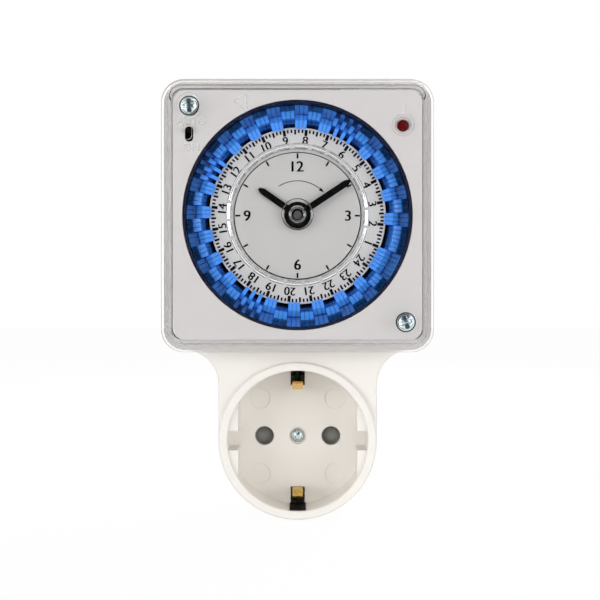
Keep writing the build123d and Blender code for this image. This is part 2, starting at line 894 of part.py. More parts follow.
def rear_plate():
    plate = slab(Circle(movement_plate), rear_plate_back, rear_plate_front)
    plate -= slab(Circle(arbor_radius + run_room), rear_plate_back, rear_plate_front)
    side_hole = Pos(side_x, side_z) * Circle(side_axle_radius + run_room)
    plate -= slab(side_hole, rear_plate_back, rear_plate_front)
    shaft_hole = Pos(motor_x, motor_z) * Circle(arbor_radius + shaft_clear)
    plate -= slab(shaft_hole, rear_plate_back, rear_plate_front)
    for angle in pillar_angles:
        place = Pos(*polar(pillar_place, angle))
        plate -= slab(place * Circle(plate_screw_shank + screw_room), rear_plate_back, rear_plate_front)
    return plate


def plate_pillars():
    post = slab(Circle(pillar_radius), rear_plate_front, front_plate_back)
    post += slab(Circle(plate_screw_shank), front_plate_back, front_plate_front)
    bore = Circle(plate_screw_shank + screw_room)
    post -= slab(bore, rear_plate_front, rear_plate_front + plate_screw_length)
    places = [polar(pillar_place, angle) for angle in pillar_angles]
    return group([Pos(x, 0, z) * post for x, z in places])


def plate_screws():
    """Three screws for the ears from the front, and one into each pillar from behind."""
    fastener = screw(plate_screw_head, plate_screw_thick, plate_screw_shank, plate_screw_length + plate_metal)
    turned = Rot(0, 0, 180) * fastener
    ears = [polar(ear_radius, angle) for angle in ear_angles]
    pillars = [polar(pillar_place, angle) for angle in pillar_angles]
    shapes = [Pos(x, -front_plate_front, z) * fastener for x, z in ears]
    return group(shapes + [Pos(x, -rear_plate_back, z) * turned for x, z in pillars])


def motor():
    place = Pos(motor_x, motor_z)
    can = slab(place * Circle(motor_radius), motor_back, rear_plate_back)
    can -= slab(place * Circle(arbor_radius + run_room), rear_plate_back - motor_shaft_in, rear_plate_back)
    return can


def motor_pinion():
    place = Pos(motor_x, motor_z)
    shaft = slab(place * Circle(arbor_radius), rear_plate_back - motor_shaft_in + shaft_clear, centre_mesh)
    teeth = place * pinion(motor_teeth, centre_teeth, motor_axle_angle + 180)
    return shaft + slab(teeth, centre_mesh, centre_mesh + wheel_thick)


def centre_wheel():
    """The wheel the motor turns once an hour, with the pinion of the hour train on its front."""
    body = slab(wheel(centre_teeth, motor_teeth, motor_axle_angle), centre_mesh, centre_mesh + wheel_thick)
    boss = cannon_teeth * axle_distance / (cannon_teeth + minute_teeth) / 2
    body += slab(Circle(boss), centre_mesh, minute_mesh)
    body += slab(pinion(cannon_teeth, minute_teeth, side_axle_angle), minute_mesh, minute_mesh + wheel_thick)
    return body - slab(Circle(arbor_radius), centre_mesh, minute_mesh + wheel_thick)


def minute_arbor():
    return slab(Circle(arbor_radius), rear_plate_back, knob_back + knob_bore_rise)


def minute_wheel():
    """The side wheel of the hour train: three toothed rings on one axle."""
    place = Pos(side_x, side_z)
    axle = slab(place * Circle(side_axle_radius), rear_plate_back, dial_back)
    back = side_axle_angle + 180
    axle += slab(place * wheel(minute_teeth, cannon_teeth, back), minute_mesh, minute_mesh + wheel_thick)
    hub = hour_pinion_teeth * axle_distance / (hour_pinion_teeth + hour_teeth) / 2
    axle += slab(place * Circle(hub), minute_mesh, hour_mesh)
    axle += slab(place * pinion(hour_pinion_teeth, hour_teeth, back), hour_mesh, hour_mesh + wheel_thick)
    axle += slab(place * pinion(dial_pinion_teeth, dial_teeth, back), dial_back, dial_back + wheel_thick)
    return axle


def hour_wheel():
    body = slab(wheel(hour_teeth, hour_pinion_teeth, side_axle_angle), hour_mesh, hour_mesh + wheel_thick)
    body += slab(Circle(pipe_outer), hour_mesh, hour_hand_back + hand_thick)
    return body - slab(Circle(pipe_inner), hour_mesh, hour_hand_back + hand_thick)


# Dial, hands and knob

def program_dial():
    """The 24-hour dial: hub, web, rim, drive teeth and the bead rail the segments clip on."""
    dial = tube(scale_outer, dial_bore, dial_front - dial_web, dial_front)
    dial += tube(dial_hub, dial_bore, dial_back, dial_front)
    dial += tube(scale_outer, scale_outer - dial_wall, dial_back, dial_front)
    dial += tube(dial_flange, scale_outer - dial_wall, dial_back, dial_back + dial_flange_thick)
    rail = rail_web / 2
    dial += tube(rail_radius + rail, rail_radius - rail, dial_back, rail_depth)
    dial += Pos(0, -rail_depth, 0) * Rot(90, 0, 0) * Torus(rail_radius, bead_radius)
    teeth = wheel(dial_teeth, dial_pinion_teeth, side_axle_angle) - Circle(dial_bore)
    return dial + slab(teeth, dial_back, dial_back + wheel_thick)


def scale_ring():
    return tube(scale_outer, scale_inner, dial_front, scale_front)


def segment_profile(tilt):
    """The side view of a segment, tilted about the bead; tilt inward is positive."""
    jaw_x, jaw_y = sin(radians(clip_mouth)), -cos(radians(clip_mouth))
    hole = bead_radius + clip_room
    points = [
        (-head_in, head_rise), (crown_out, crown_rise), (head_out, head_low), (head_out, head_slope),
        (heel_reach, heel_rise), (heel_reach, heel_rise - heel_thick),
        (foot_outer, foot_top), (foot_outer, -foot_drop), (foot_inner, -foot_drop),
        (waist, -jaw_drop), (-waist, -jaw_drop), (-waist, waist_rise),
        (-neck, neck_rise), (-neck, neck_top), (-head_in, head_under),
    ]
    side = make_face(Polyline(*points, close=True)) - Circle(hole)
    far = 2 * waist / cos(radians(clip_mouth))
    mouth = [(0, 0), (far * jaw_x, far * jaw_y), (-far * jaw_x, far * jaw_y)]
    side -= make_face(Polyline(*mouth, close=True)) & Rectangle(2 * waist, 2 * waist)
    return Pos(rail_radius, rail_depth) * Rot(0, 0, tilt) * side


def segment(tilt):
    """One segment at +X, as wide as its share of the circle less a gap."""
    side = mirror(segment_profile(tilt), about=Plane.XZ)
    count = segment_hours * segments_per_hour
    arc = 360 / count - 2 * segment_gap / rail_radius * 180 / pi
    return Rot(0, -arc / 2, 0) * revolve(side, axis=Axis.Y, revolution_arc=arc)


def segment_turn(number):
    """The turn about Y that takes a segment from +X to its place on the dial."""
    hour = (number + 1 / 2) / segments_per_hour
    clockwise = -pointer_angle - (hour - clock_time) * 360 / segment_hours
    return clockwise - 90


# The day set on the dial: half of each hour in, three hours by turns, one hour all in, one all out
turn_about_hours = (6, 12, 18)
all_in_hours = (0,)
all_out_hours = (1,)
loose_segments = (66, 67, 68, 78, 79, 80)


def pushed_in(number):
    hour, step = divmod(number, segments_per_hour)
    if hour in turn_about_hours:
        return step % 2 == 0
    if hour in all_in_hours:
        return True
    return hour not in all_out_hours and step < segments_per_hour / 2


def placed_segments(inward):
    shape = segment(segment_tilt if inward else -segment_tilt)
    numbers = range(segment_hours * segments_per_hour)
    chosen = [n for n in numbers if pushed_in(n) == inward and n not in loose_segments]
    return group([Rot(0, segment_turn(n), 0) * shape for n in chosen])


def loose_segment(number):
    return Rot(0, segment_turn(number), 0) * segment(segment_tilt)


def clock_face():
    return tube(face_radius, bush_outer, face_back, face_front)


def hand(length, bore, back, clockwise):
    half = hand_width / 2
    shoulder = length - hand_taper
    tip = hand_tip / 2
    outline = [(-half, 0), (half, 0), (half, shoulder), (tip, length), (-tip, length), (-half, shoulder)]
    blade = make_face(Polyline(*outline, close=True)) + Circle(hand_boss) - Circle(bore)
    return slab(Rot(0, 0, -clockwise) * blade, back, back + hand_thick)


def hour_hand():
    return hand(hour_hand_length, pipe_outer, hour_hand_back, clock_time * 30)


def minute_hand():
    return hand(minute_hand_length, arbor_radius, minute_hand_back, clock_time % 1 * 360)


def setting_knob():
    """The clear knob over the hands: web, notched rim and boss."""
    rim_back = face_front + knob_rim_back
    rim_front = face_front + knob_rim_front
    boss_front = face_front + knob_boss_front
    rim = tube(knob_rim_outer, knob_rim_inner, rim_back, rim_front)
    knob = fillet(rim.faces().sort_by(Axis.Y)[0].edges(), knob_rim_round)
    knob += slab(Circle(knob_rim_outer), knob_back, knob_back + knob_web)
    boss = slab(Circle(knob_boss) - Circle(knob_dimple), knob_back, boss_front)
    knob += fillet(boss.faces().sort_by(Axis.Y)[0].edges(), knob_boss_round)
    knob += slab(Circle(knob_dimple), knob_back, boss_front - knob_dimple_depth)
    for notch in range(knob_notches):
        width = knob_rim_outer - knob_rim_inner + 2 * run_room
        middle = (knob_rim_outer + knob_rim_inner) / 2
        cut = block(middle, 0, width, knob_notch_width, rim_front - knob_notch_depth, rim_front)
        knob -= Rot(0, knob_notch_turn + notch * 360 / knob_notches, 0) * cut
    return knob - slab(Circle(arbor_radius), knob_back, knob_back + knob_bore_rise)


# Switch

def turned_out(u, v, tilt):
    """A point of the segment side view after the tilt, out and forward of the bead."""
    a = radians(tilt)
    return u * cos(a) - v * sin(a), u * sin(a) + v * cos(a)


def nose_radius():
    """The middle of the lever nose, just clear of the feet that are swung out."""
    reach = max(turned_out(foot_outer, v, segment_tilt)[0] for v in (foot_top, -foot_drop))
    return rail_radius + reach + lever_trip_gap + lever_nose / 2


def lever_angle():
    return 90 + pointer_angle


def switch_lever():
    pivot = (lever_pivot_x, lever_pivot_z)
    nose = polar(nose_radius(), lever_angle())
    elbow = polar(nose_radius() + lever_elbow_out, lever_angle() + lever_elbow_angle)
    tail_z = slider_z() - slider_stem / 2 - slot_travel - tail_gap - lever_bar / 2
    bend = (lever_pivot_x, tail_z)
    outline = Pos(*pivot) * Circle(lever_hub)
    outline += bar(pivot, elbow, lever_bar) + bar(elbow, nose, lever_nose)
    outline += bar(pivot, bend, lever_bar) + bar(bend, (slot_x, tail_z), lever_bar)
    front = lever_back + lever_thick
    arm = slab(outline, lever_back, front)
    middle = pad_top - pad_height / 2
    arm += block(plunger_x, middle, pad_width, pad_height, case_floor + switch_depth / 2, front)
    return arm - slab(Pos(*pivot) * Circle(lever_pin + run_room), lever_back, front)


def plunger_depth():
    return case_floor + switch_depth * 3 / 4


def switch_body():
    left = plunger_x - switch_side
    middle = left + switch_length / 2
    body = block(middle, switch_middle, switch_length, switch_height, case_floor, case_floor + switch_depth)
    hole = Pos(plunger_x, -plunger_depth(), switch_low) * Cylinder(
        plunger_radius + run_room, 2 * (plunger_in + plunger_out))
    return body - hole


def switch_plunger():
    length = plunger_in + plunger_out
    middle = switch_low - plunger_out + length / 2
    return Pos(plunger_x, -plunger_depth(), middle) * Cylinder(plunger_radius, length)


def tab_places():
    left = plunger_x - switch_side
    return [left + tab_place, left + switch_length - tab_place]


def switch_terminals():
    back = case_floor - tab_length
    return group([block(x, switch_middle, tab_thick, tab_width, back, case_floor) for x in tab_places()])


# Circuit board

def circuit_board():
    return block(board_x, board_z, board_width, board_height, board_back, board_front)


def board_pillars():
    post = slab(Circle(board_pillar_radius), board_front, rear_plate_back)
    return group([Pos(x, 0, z) * post for x, z in board_pillars_at])


def film_capacitor():
    back = board_back - capacitor_depth
    box = block(capacitor_x, capacitor_z, capacitor_width, capacitor_height, back, board_back)
    return fillet(box.edges().filter_by(Axis.Y), board_thick)


def backup_cell():
    return slab(Pos(cell_x, cell_z) * Circle(cell_radius), board_back - cell_depth, board_back)


# Wires

def wire(points):
    """A round wire through places given as x, z and depth."""
    path = FilletPolyline(*[(x, -depth, z) for x, z, depth in points], radius=wire_bend)
    return sweep((path ^ 0) * Circle(wire_radius), path=path)


def neutral_wire():
    lane = (carrier_front + contact_front) / 2
    start = -pin_block / 2
    end = -socket_drop + contact_outer
    return wire([(pin_place, start, carrier_front), (pin_place, start - pin_block, carrier_front),
                 (pin_place, start - 2 * pin_block, lane), (pin_place, end, lane)])


def live_wire():
    start = pin_block / 2
    x = tab_places()[1]
    deep = case_floor - tab_length
    return wire([(-pin_place, start, carrier_front), (-pin_place, start + pin_block, carrier_front),
                 (x, switch_middle, split_depth), (x, switch_middle, deep)])


def load_wire():
    x = tab_places()[0]
    deep = case_floor - tab_length
    lane = (carrier_front + contact_front) / 2
    turn = motor_z - motor_radius
    return wire([(x, switch_middle, deep), (x, switch_middle, split_depth + pin_block),
                 (load_wire_x, switch_middle - 2 * pin_block, split_depth),
                 (load_wire_x, turn, split_depth),
                 (-pin_place, turn - pin_block, lane), (-pin_place, -socket_drop + contact_outer, lane)])


def earth_wire():
    start = shell_wall + strip_thick * 3 / 2
    place = -plug_radius + earth_wire_in
    end = -socket_drop + groove_inner
    lane = (carrier_front + contact_front) / 2
    return wire([(0, place, start), (0, place, lane), (0, end, lane), (0, end, strap_back)])


pieces = {
    "base_rear": base_rear(),
    "base_front": base_front(),
    "base_screws": base_screws(),
    "plug_body": plug_body(),
    "plug_pin_left": plug_pin(-1),
    "plug_pin_right": plug_pin(1),
    "plug_earth": plug_earth(),
    "socket_plate": socket_plate(),
    "socket_screw": socket_screw(),
    "shutter": shutter(),
    "contact_carrier": contact_carrier(),
    "live_contact": pin_contact(-1),
    "neutral_contact": pin_contact(1),
    "earth_contact": earth_contact(),
    "timer_case": timer_case(),
    "case_screws": case_screws(),
    "front_panel": front_panel(),
    "dial_surround": dial_surround(),
    "clear_cover": clear_cover(),
    "cover_screws": cover_screws(),
    "status_lamp": status_lamp(),
    "lamp_board": lamp_board(),
    "mode_slider": mode_slider(),
    "front_plate": front_plate(),
    "rear_plate": rear_plate(),
    "plate_pillars": plate_pillars(),
    "plate_screws": plate_screws(),
    "motor": motor(),
    "motor_pinion": motor_pinion(),
    "centre_wheel": centre_wheel(),
    "minute_arbor": minute_arbor(),
    "minute_wheel": minute_wheel(),
    "hour_wheel": hour_wheel(),
    "program_dial": program_dial(),
    "scale_ring": scale_ring(),
    "segments_in": placed_segments(True),
    "segments_out": placed_segments(False),
    "clock_face": clock_face(),
    "hour_hand": hour_hand(),
    "minute_hand": minute_hand(),
    "setting_knob": setting_knob(),
    "switch_lever": switch_lever(),
    "switch_body": switch_body(),
    "switch_plunger": switch_plunger(),
    "switch_terminals": switch_terminals(),
    "circuit_board": circuit_board(),
    "board_pillars": board_pillars(),
    "film_capacitor": film_capacitor(),
    "backup_cell": backup_cell(),
    "neutral_wire": neutral_wire(),
    "live_wire": live_wire(),
    "load_wire": load_wire(),
    "earth_wire": earth_wire(),
}
for number in loose_segments:
    hour, step = divmod(number, segments_per_hour)
    pieces[f"segment_{hour}_{step * 60 // segments_per_hour:02d}"] = loose_segment(number)

os.makedirs("parts", exist_ok=True)
for name, shape in pieces.items():
    export_step(shape, f"parts/{name}.step")
print(f"{len(pieces)} pieces, {sum(len(shape.solids()) for shape in pieces.values())} solids")
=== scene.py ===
# %% [markdown]
# # A plug-in time switch
# This lesson dresses a time switch for a studio picture. The switch is a clear-fronted box with a 24-hour
# dial, above a cream adaptor base with a round earthed socket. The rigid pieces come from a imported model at
# their real size and in their real place, so this file gives them their finishes and adds what a solid
# model leaves out: print, lettering, screw heads and small mouldings.

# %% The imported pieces
import json
import math

import bmesh
import bpy
from mathutils import Matrix, Vector


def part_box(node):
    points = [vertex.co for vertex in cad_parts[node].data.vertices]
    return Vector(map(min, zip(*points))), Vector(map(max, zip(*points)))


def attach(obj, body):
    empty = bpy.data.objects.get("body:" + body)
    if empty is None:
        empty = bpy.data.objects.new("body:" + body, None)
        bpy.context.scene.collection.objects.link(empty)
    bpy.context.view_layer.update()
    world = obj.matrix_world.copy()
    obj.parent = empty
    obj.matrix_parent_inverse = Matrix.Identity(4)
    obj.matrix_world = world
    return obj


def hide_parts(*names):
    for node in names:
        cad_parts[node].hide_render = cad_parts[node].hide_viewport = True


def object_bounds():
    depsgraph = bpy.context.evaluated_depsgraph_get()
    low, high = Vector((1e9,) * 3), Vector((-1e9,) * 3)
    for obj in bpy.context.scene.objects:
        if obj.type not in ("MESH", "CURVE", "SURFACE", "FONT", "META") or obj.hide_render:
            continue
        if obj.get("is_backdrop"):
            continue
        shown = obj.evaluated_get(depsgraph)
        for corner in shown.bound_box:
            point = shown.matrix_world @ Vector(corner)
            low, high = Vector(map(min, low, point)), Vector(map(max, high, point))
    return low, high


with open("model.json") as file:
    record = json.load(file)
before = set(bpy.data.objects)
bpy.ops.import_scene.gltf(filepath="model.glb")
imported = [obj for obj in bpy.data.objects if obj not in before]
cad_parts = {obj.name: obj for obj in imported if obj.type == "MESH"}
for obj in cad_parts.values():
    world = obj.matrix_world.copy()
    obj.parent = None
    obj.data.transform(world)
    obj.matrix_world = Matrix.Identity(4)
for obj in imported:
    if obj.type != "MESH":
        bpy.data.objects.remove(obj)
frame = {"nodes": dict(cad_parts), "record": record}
nodes = frame["nodes"]
cad_low, cad_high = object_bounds()
mm = 0.001
print("pieces from the model:", len(nodes), "box in mm:", [round(x / mm, 1) for x in cad_high - cad_low])

# %% [markdown]
# ## Camera
# The picture is a straight front view from about half a metre, so the near edges of the box look only a
# little larger than what lies behind them. A focal length given in pixels turns into a lens through the
# sensor width and the side of the square picture.

# %% Camera at the picture's place
picture_side = 600
focal_pixels = 1600
sensor_width = 36
camera_place = Vector((0.65, -482.0, -22.25)) * mm

camera_data = bpy.data.cameras.new("camera")
camera_data.sensor_width = sensor_width
camera_data.lens = sensor_width * focal_pixels / picture_side
camera = bpy.data.objects.new("camera", camera_data)
camera.location = camera_place
camera.rotation_euler = (math.radians(90), 0, 0)
scene = bpy.context.scene
scene.collection.objects.link(camera)
scene.camera = camera
scene.view_settings.view_transform = "Standard"
print("lens in mm:", camera_data.lens)

# %% [markdown]
# ## Studio light
# The real thing was lit softly from the front and both sides, on white paper. Ambient light from the world
# does most of the work here and is strongest in front, large lamps give the shading, and the paper is a world
# that shows white to the camera. What mirrors and clear edges see is a studio of its own: white at the sides
# and behind, dimmer above and below, and dark in front, or the clear cover would wash out what lies behind
# it.

# %% World
def link(tree, start, end):
    tree.links.new(start, end)


def add_node(tree, kind, **settings):
    """A new node with its settings, so that each line of a material says one thing."""
    made = tree.nodes.new("ShaderNode" + kind)
    for name, value in settings.items():
        setattr(made, name, value)
    return made


def combine(tree, operation, *values):
    """One number from others, by a maths node."""
    made = add_node(tree, "Math", operation=operation)
    for socket, value in zip(made.inputs, values):
        link(tree, value, socket)
    return made.outputs[0]


ambient_back, ambient_front = 0.36, 0.60
mirror_front, mirror_side = 0.02, 1.1
through_least = 0.45
ambient_turn = (0.4, -1.0)
white_sides, white_back, upright_turn = (0.25, 0.75), (-0.1, 0.5), (0.3, 0.8)
paper_white = (1, 1, 1, 1)

world = bpy.data.worlds.new("studio")
scene.world = world
world.use_nodes = True
sky = world.node_tree
surround = sky.nodes["Background"]
ray = add_node(sky, "LightPath")
place = add_node(sky, "TexCoord")
split = add_node(sky, "SeparateXYZ")
link(sky, place.outputs["Generated"], split.inputs[0])


def ramp(value, start, end):
    """A smooth step from 0 to 1 along one direction of the world."""
    made = add_node(sky, "MapRange", interpolation_type="SMOOTHSTEP")
    link(sky, value, made.inputs["Value"])
    made.inputs["From Min"].default_value = start
    made.inputs["From Max"].default_value = end
    return made.outputs["Result"]


def spread(value, low, high):
    """A value from 0 to 1 spread between two levels of light."""
    made = add_node(sky, "MapRange")
    link(sky, value, made.inputs["Value"])
    made.inputs["To Min"].default_value = low
    made.inputs["To Max"].default_value = high
    return made.outputs["Result"]


sideways = combine(sky, "ABSOLUTE", split.outputs["X"])
up_or_down = combine(sky, "ABSOLUTE", split.outputs["Z"])
ambient = spread(ramp(split.outputs["Y"], *ambient_turn), ambient_back, ambient_front)
white_part = combine(sky, "MAXIMUM", ramp(sideways, *white_sides), ramp(split.outputs["Y"], *white_back))
mirrored = spread(white_part, mirror_front, mirror_side)
upright = spread(ramp(up_or_down, *upright_turn), 0.0, through_least)
through_light = combine(sky, "MULTIPLY", upright, ray.outputs["Is Transmission Ray"])
mirror_light = combine(sky, "MAXIMUM", mirrored, through_light)
bright_ray = combine(sky, "MAXIMUM", ray.outputs["Is Glossy Ray"], ray.outputs["Is Transmission Ray"])
lit = add_node(sky, "Mix", data_type="RGBA")
link(sky, bright_ray, lit.inputs["Factor"])
link(sky, ambient, lit.inputs[6])
link(sky, mirror_light, lit.inputs[7])
paper = add_node(sky, "Mix", data_type="RGBA")
link(sky, ray.outputs["Is Camera Ray"], paper.inputs["Factor"])
link(sky, lit.outputs[2], paper.inputs[6])
paper.inputs[7].default_value = paper_white
link(sky, paper.outputs[2], surround.inputs["Color"])
print("world light from", ambient_back, "behind to", ambient_front, "in front")

# %% Lamps
def soft_lamp(name, place, width, height, power, aim):
    """A rectangular lamp at a place, turned to a point, with its sides in metres and its power in watts."""
    data = bpy.data.lights.new(name, "AREA")
    data.shape = "RECTANGLE"
    data.size = width
    data.size_y = height
    data.energy = power
    lamp = bpy.data.objects.new(name, data)
    lamp.location = place
    lamp.rotation_euler = (Vector(aim) - Vector(place)).to_track_quat("-Z", "Y").to_euler()
    scene.collection.objects.link(lamp)
    return lamp


middle = (cad_low + cad_high) / 2
front_lamp = soft_lamp("front_lamp", (0.0, -0.85, -0.04), width=0.5, height=0.2, power=0.6, aim=middle)
front_lamp.visible_glossy = False
front_lamp.visible_transmission = False
soft_lamp("top_lamp", (-0.15, -0.60, 0.60), width=0.6, height=0.6, power=0.4, aim=middle)
soft_lamp("left_lamp", (-0.52, -0.56, -0.01), width=0.5, height=0.3, power=2.6, aim=middle)
soft_lamp("right_lamp", (0.52, -0.56, -0.01), width=0.5, height=0.3, power=2.1, aim=middle)
soft_lamp("back_lamp", (0.35, 0.60, 0.50), width=0.6, height=0.6, power=3.0, aim=middle)
print("lamps:", len(bpy.data.lights))

# %% Floor
floor_half = 3.0
floor_gap = 0.5 * mm
floor_z = cad_low.z - floor_gap
floor_mesh = bpy.data.meshes.new("floor")
signs = ((-1, -1), (1, -1), (1, 1), (-1, 1))
corners = [(sx * floor_half, sy * floor_half, floor_z) for sx, sy in signs]
floor_mesh.from_pydata(corners, [], [(0, 1, 2, 3)])
floor = bpy.data.objects.new("floor", floor_mesh)
scene.collection.objects.link(floor)
floor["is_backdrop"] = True

paper_glow, paper_strength = 0.94, 1.02
paper_colour = (0.9, 0.9, 0.9, 1)
floor_paint = bpy.data.materials.new("floor_paper")
floor_paint.use_nodes = True
tree = floor_paint.node_tree
shader = tree.nodes["Principled BSDF"]
shader.inputs["Base Color"].default_value = paper_colour
shader.inputs["Roughness"].default_value = 1.0
shader.inputs["Specular IOR Level"].default_value = 0.0
glow = add_node(tree, "Emission")
glow.inputs["Strength"].default_value = paper_strength
ray = add_node(tree, "LightPath")
seen = combine(tree, "MAXIMUM", ray.outputs["Is Camera Ray"], ray.outputs["Is Glossy Ray"])
seen_through = combine(tree, "MAXIMUM", seen, ray.outputs["Is Transmission Ray"])
share = add_node(tree, "Math", operation="MULTIPLY")
link(tree, seen_through, share.inputs[0])
share.inputs[1].default_value = paper_glow
blend = add_node(tree, "MixShader")
link(tree, share.outputs[0], blend.inputs[0])
link(tree, shader.outputs[0], blend.inputs[1])
link(tree, glow.outputs[0], blend.inputs[2])
link(tree, blend.outputs[0], tree.nodes["Material Output"].inputs["Surface"])
floor_mesh.materials.append(floor_paint)
print("floor at z in mm:", round(floor_z / mm, 1))

# %% [markdown]
# ## Effects that several finishes share
# Moulded plastic is never one flat colour: the skin has a fine grain, the colour drifts a little over a
# hand's width, and every edge is slightly round. Plated metal has faint streaks instead. Each effect is a
# node group, built once and placed in every material that needs it with values of its own.

# %% Group with named sockets
def effect(name, numbers):
    """An empty group that takes a colour and numbers and gives a colour, a roughness and a normal."""
    made = bpy.data.node_groups.new(name, "ShaderNodeTree")
    made.interface.new_socket("Colour", in_out="INPUT", socket_type="NodeSocketColor")
    for socket in numbers:
        made.interface.new_socket(socket, in_out="INPUT", socket_type="NodeSocketFloat")
    made.interface.new_socket("Colour", in_out="OUTPUT", socket_type="NodeSocketColor")
    made.interface.new_socket("Roughness", in_out="OUTPUT", socket_type="NodeSocketFloat")
    made.interface.new_socket("Normal", in_out="OUTPUT", socket_type="NodeSocketVector")
    return made, made.nodes.new("NodeGroupInput"), made.nodes.new("NodeGroupOutput")


def noise(tree, vector, scale, detail=3):
    made = add_node(tree, "TexNoise")
    made.inputs["Scale"].default_value = scale
    made.inputs["Detail"].default_value = detail
    link(tree, vector, made.inputs["Vector"])
    return made.outputs["Fac"]


noise_low, noise_high = 0.3, 0.7
edge_samples = 4
grain_height = 0.02 * mm


def between(tree, value, low, high):
    """A noise value spread from one group input to another."""
    made = add_node(tree, "MapRange")
    link(tree, value, made.inputs["Value"])
    made.inputs["From Min"].default_value = noise_low
    made.inputs["From Max"].default_value = noise_high
    link(tree, low, made.inputs["To Min"])
    link(tree, high, made.inputs["To Max"])
    return made.outputs["Result"]


def darkened(tree, colour, value, amount):
    """The colour times one less a share of a noise value."""
    part = add_node(tree, "Math", operation="MULTIPLY")
    link(tree, value, part.inputs[0])
    link(tree, amount, part.inputs[1])
    keep = add_node(tree, "Math", operation="SUBTRACT")
    keep.inputs[0].default_value = 1.0
    link(tree, part.outputs[0], keep.inputs[1])
    made = add_node(tree, "VectorMath", operation="SCALE")
    link(tree, colour, made.inputs[0])
    link(tree, keep.outputs[0], made.inputs["Scale"])
    return made.outputs[0]


def rough_normal(tree, height, depth, edge):
    """A normal that is rounded at the edges and then roughened by a height."""
    rounded = add_node(tree, "Bevel", samples=edge_samples)
    link(tree, edge, rounded.inputs["Radius"])
    bump = add_node(tree, "Bump")
    bump.inputs["Distance"].default_value = grain_height
    link(tree, depth, bump.inputs["Strength"])
    link(tree, height, bump.inputs["Height"])
    link(tree, rounded.outputs[0], bump.inputs["Normal"])
    return bump.outputs[0]


# %% Moulded skin and plated skin
skin_sockets = ["Drift", "Grain depth", "Smooth", "Rough", "Edge"]
drift_per_metre, grain_per_metre = 45, 2600
moulded, given, put = effect("moulded_skin", skin_sockets)
spot = add_node(moulded, "TexCoord").outputs["Object"]
broad = noise(moulded, spot, drift_per_metre)
grain = noise(moulded, spot, grain_per_metre, detail=2)
tint = darkened(moulded, given.outputs["Colour"], broad, given.outputs["Drift"])
link(moulded, tint, put.inputs["Colour"])
roughness = between(moulded, grain, given.outputs["Smooth"], given.outputs["Rough"])
link(moulded, roughness, put.inputs["Roughness"])
skin = rough_normal(moulded, grain, given.outputs["Grain depth"], given.outputs["Edge"])
link(moulded, skin, put.inputs["Normal"])

streaks_per_metre, clouds_per_metre, streak_stretch = 900, 300, (1, 1, 12)
plated, given, put = effect("plated_skin", skin_sockets)
spot = add_node(plated, "TexCoord").outputs["Object"]
stretch = add_node(plated, "Mapping")
stretch.inputs["Scale"].default_value = streak_stretch
link(plated, spot, stretch.inputs["Vector"])
streak = noise(plated, stretch.outputs[0], streaks_per_metre)
cloud = noise(plated, spot, clouds_per_metre)
tint = darkened(plated, given.outputs["Colour"], cloud, given.outputs["Drift"])
link(plated, tint, put.inputs["Colour"])
roughness = between(plated, streak, given.outputs["Smooth"], given.outputs["Rough"])
link(plated, roughness, put.inputs["Roughness"])
skin = rough_normal(plated, streak, given.outputs["Grain depth"], given.outputs["Edge"])
link(plated, skin, put.inputs["Normal"])
print("shared effects:", [group.name for group in bpy.data.node_groups])

# %% [markdown]
# ## Finishes
# The base is a warm cream plastic, the panel a cooler grey, and the segments a strong blue with a little
# gloss. A finish is a Principled shader with one of the shared effects in front of it. What is the same all
# over a surface, such as the metal weight, is set on the shader's own socket.

# %% One finish from a shared effect
def finish(name, group, colour, drift=0.06, depth=0.3, smooth=0.35, rough=0.5,
           edge=0.15, metal=0.0, shine=0.5):
    """A finish in one colour, with its edge rounding in millimetres."""
    made = bpy.data.materials.new(name)
    made.use_nodes = True
    tree = made.node_tree
    shader = tree.nodes["Principled BSDF"]
    shader.inputs["Metallic"].default_value = metal
    shader.inputs["Specular IOR Level"].default_value = shine
    surface = add_node(tree, "Group", node_tree=group)
    surface.inputs["Colour"].default_value = (*colour, 1)
    for socket, value in zip(skin_sockets, (drift, depth, smooth, rough, edge * mm)):
        surface.inputs[socket].default_value = value
    link(tree, surface.outputs["Colour"], shader.inputs["Base Color"])
    link(tree, surface.outputs["Roughness"], shader.inputs["Roughness"])
    link(tree, surface.outputs["Normal"], shader.inputs["Normal"])
    return made


cream = finish("cream_shell", moulded, (0.90, 0.868, 0.82), rough=0.55)
grey = finish("grey_panel", moulded, (0.615, 0.593, 0.598), rough=0.55)
pale = finish("printed_card", moulded, (0.59, 0.582, 0.592), rough=0.6, smooth=0.45)
black = finish("black_plastic", moulded, (0.0015, 0.0015, 0.002), smooth=0.5, rough=0.65, shine=0.06)
navy = finish("navy_dial", moulded, (0.002, 0.004, 0.022), smooth=0.4, rough=0.55, shine=0.2)
blue = finish("blue_segments", moulded, (0.06, 0.29, 0.95), drift=0.12, smooth=0.3, rough=0.45,
              edge=0.08, shine=0.4)
natural = finish("natural_nylon", moulded, (0.82, 0.79, 0.70))
dark_grey = finish("shutter_grey", moulded, (0.26, 0.26, 0.245), edge=0.25)
laminate = finish("board_laminate", moulded, (0.03, 0.16, 0.07), drift=0.3)
amber = finish("capacitor_box", moulded, (0.55, 0.33, 0.05))
brown = finish("brown_insulation", moulded, (0.16, 0.06, 0.03))
wire_blue = finish("blue_insulation", moulded, (0.03, 0.10, 0.42))
wire_green = finish("green_insulation", moulded, (0.07, 0.19, 0.015))
ink = finish("black_ink", moulded, (0.004, 0.004, 0.005), rough=0.7, smooth=0.6, edge=0.01, shine=0.1)
zinc = finish("zinc_plate", plated, (0.67, 0.76, 0.79), depth=0.05, smooth=0.16, rough=0.24,
              edge=0.04, metal=1.0)
steel = finish("mill_steel", plated, (0.60, 0.60, 0.60), smooth=0.28, rough=0.42, metal=1.0)
nickel = finish("nickel_plate", plated, (0.78, 0.75, 0.70), smooth=0.14, rough=0.26, metal=1.0)
